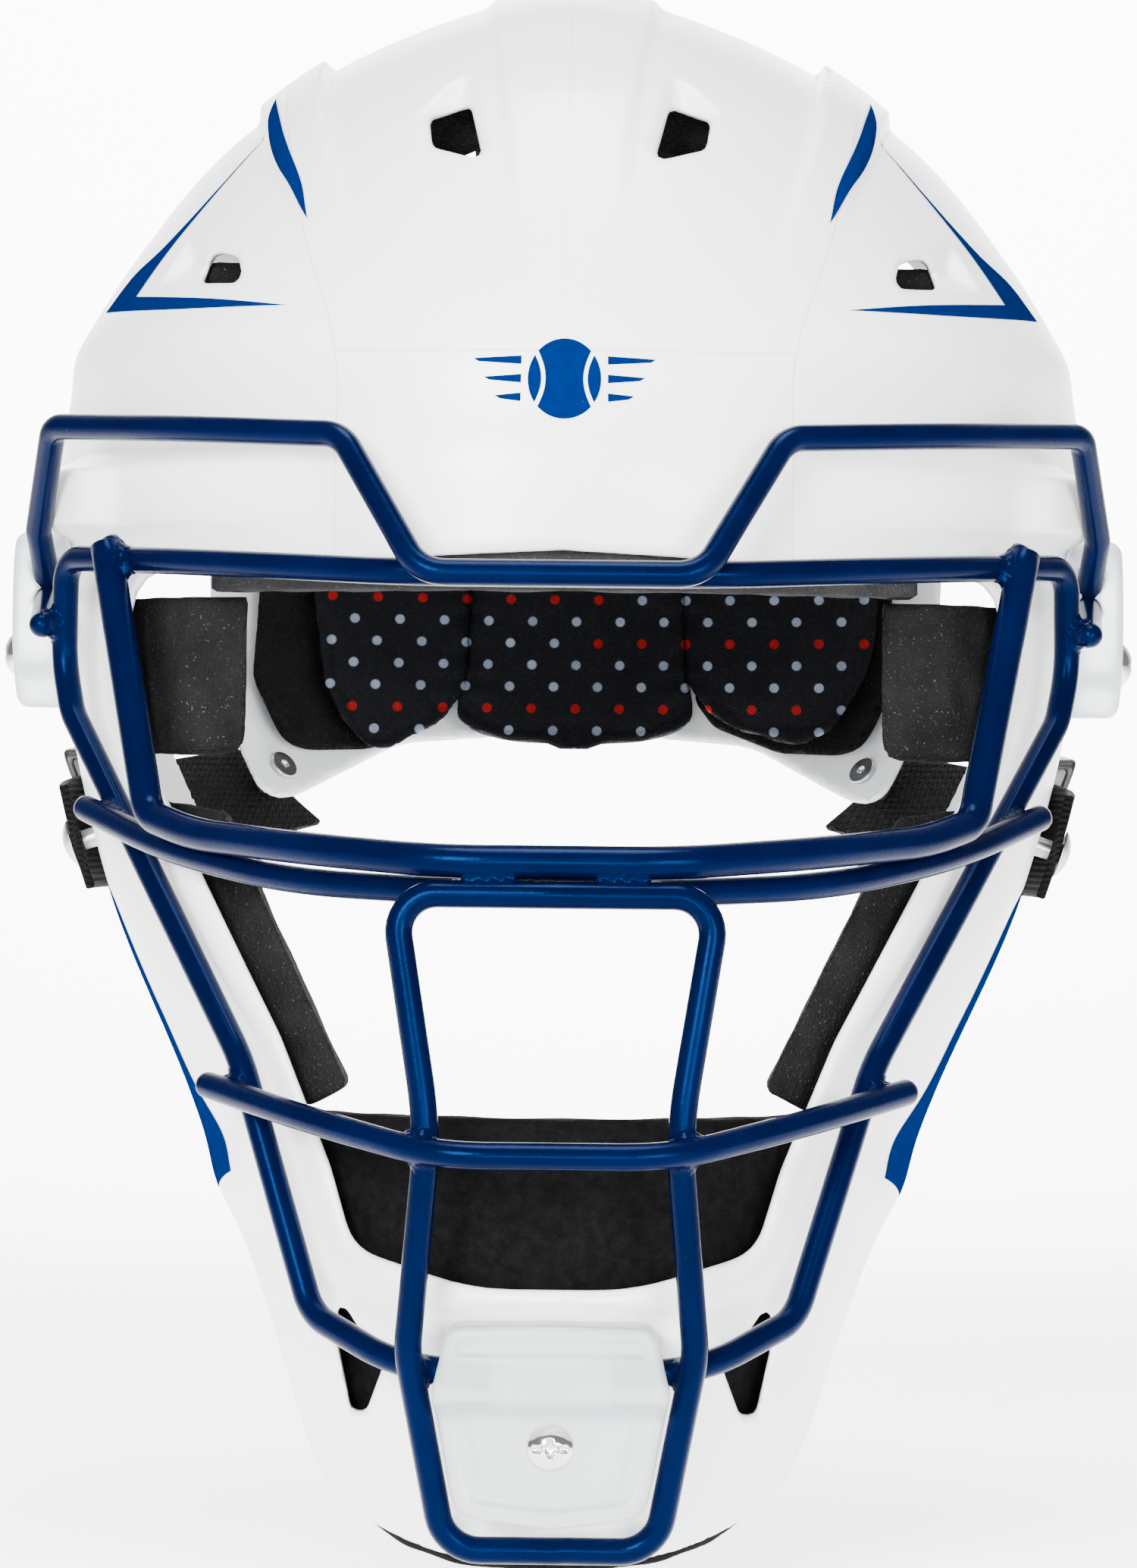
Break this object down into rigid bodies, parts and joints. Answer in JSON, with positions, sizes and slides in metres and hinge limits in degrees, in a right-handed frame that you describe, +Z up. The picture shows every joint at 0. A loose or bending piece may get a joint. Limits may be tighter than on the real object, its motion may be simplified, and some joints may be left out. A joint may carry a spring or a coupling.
{
  "type": "catcher's mask",
  "caption": "Hockey-style baseball catcher's mask: moulded shell with welded wire cage, foam pads, and a back plate on elastic straps that hinges open.",
  "frame": {"origin": "centre of the wearer's head at hat-band height, on the mask's mirror plane", "axes": "+Z up along the wearer's spine, +Y to the back of the head so the cage faces -Y, +X to the wearer's left"},
  "size_m": [0.229, 0.2945, 0.3094],
  "materials": {
    "shell_white": "satin white",
    "plate_white": "frosted white",
    "cage_blue": "royal blue gloss powder coat",
    "clip_frosted": "frosted translucent",
    "foam_black": "cloth-faced foam",
    "fleece_black": "brushed fleece over foam",
    "liner_print": "smooth knit with a small woven pattern",
    "strap_black": "elastic webbing",
    "slider_black": "moulded",
    "screw_chrome": "bright",
    "fastener_steel": "plain"
  },
  "bodies": {
    "mask": {"brow_wire": "cage_blue", "perimeter_wire": "cage_blue", "eye_frame_wire": "cage_blue", "lower_eye_bar": "cage_blue", "center_loop_wire": "cage_blue", "mid_bar": "cage_blue", "clip_stub_left": "cage_blue", "clip_stub_right": "cage_blue", "front_shell": "shell_white", "forehead_pad": "foam_black", "crown_pad": "foam_black", "side_pad_left": "foam_black", "side_pad_right": "foam_black", "temple_pad_left": "foam_black", "temple_pad_right": "foam_black", "jaw_pad_left": "foam_black", "jaw_pad_right": "foam_black", "chin_pad": "fleece_black", "side_clip_left": "clip_frosted", "side_clip_right": "clip_frosted", "chin_clip": "clip_frosted", "side_strap_left": "strap_black", "side_strap_right": "strap_black", "top_strap": "strap_black", "clip_screws": "screw_chrome", "chin_screw": "screw_chrome", "clip_nuts": "fastener_steel", "chin_nut": "fastener_steel", "strap_anchor_rivets": "fastener_steel", "top_front_anchor_rivets": "fastener_steel"},
    "back_plate": {"back_plate": "plate_white", "back_pad_center": "liner_print", "back_pad_left": "liner_print", "back_pad_right": "liner_print", "strap_plate_rivets": "fastener_steel", "top_plate_anchor_rivets": "fastener_steel"},
    "slider_left": {"strap_slider_left": "slider_black"},
    "slider_right": {"strap_slider_right": "slider_black"}
  },
  "joints": [
    {"name": "back_plate_tilt", "type": "hinge", "parent": "mask", "child": "back_plate", "pos_m": [0, 0.078, 0.09], "axis": [1, 0, 0], "range_deg": [0, 25], "stiffness_Nm_per_rad": 1, "springref_deg": -14.32, "deforming": ["side_strap_left", "side_strap_right", "top_strap"]},
    {"name": "strap_slider_left_slide", "type": "slide", "parent": "mask", "child": "slider_left", "axis": [-0.2998, 0.9517, 0.0666], "range_m": [-0.006, 0.006]},
    {"name": "strap_slider_right_slide", "type": "slide", "parent": "mask", "child": "slider_right", "axis": [0.2998, 0.9517, 0.0666], "range_m": [-0.006, 0.006]}
  ]
}
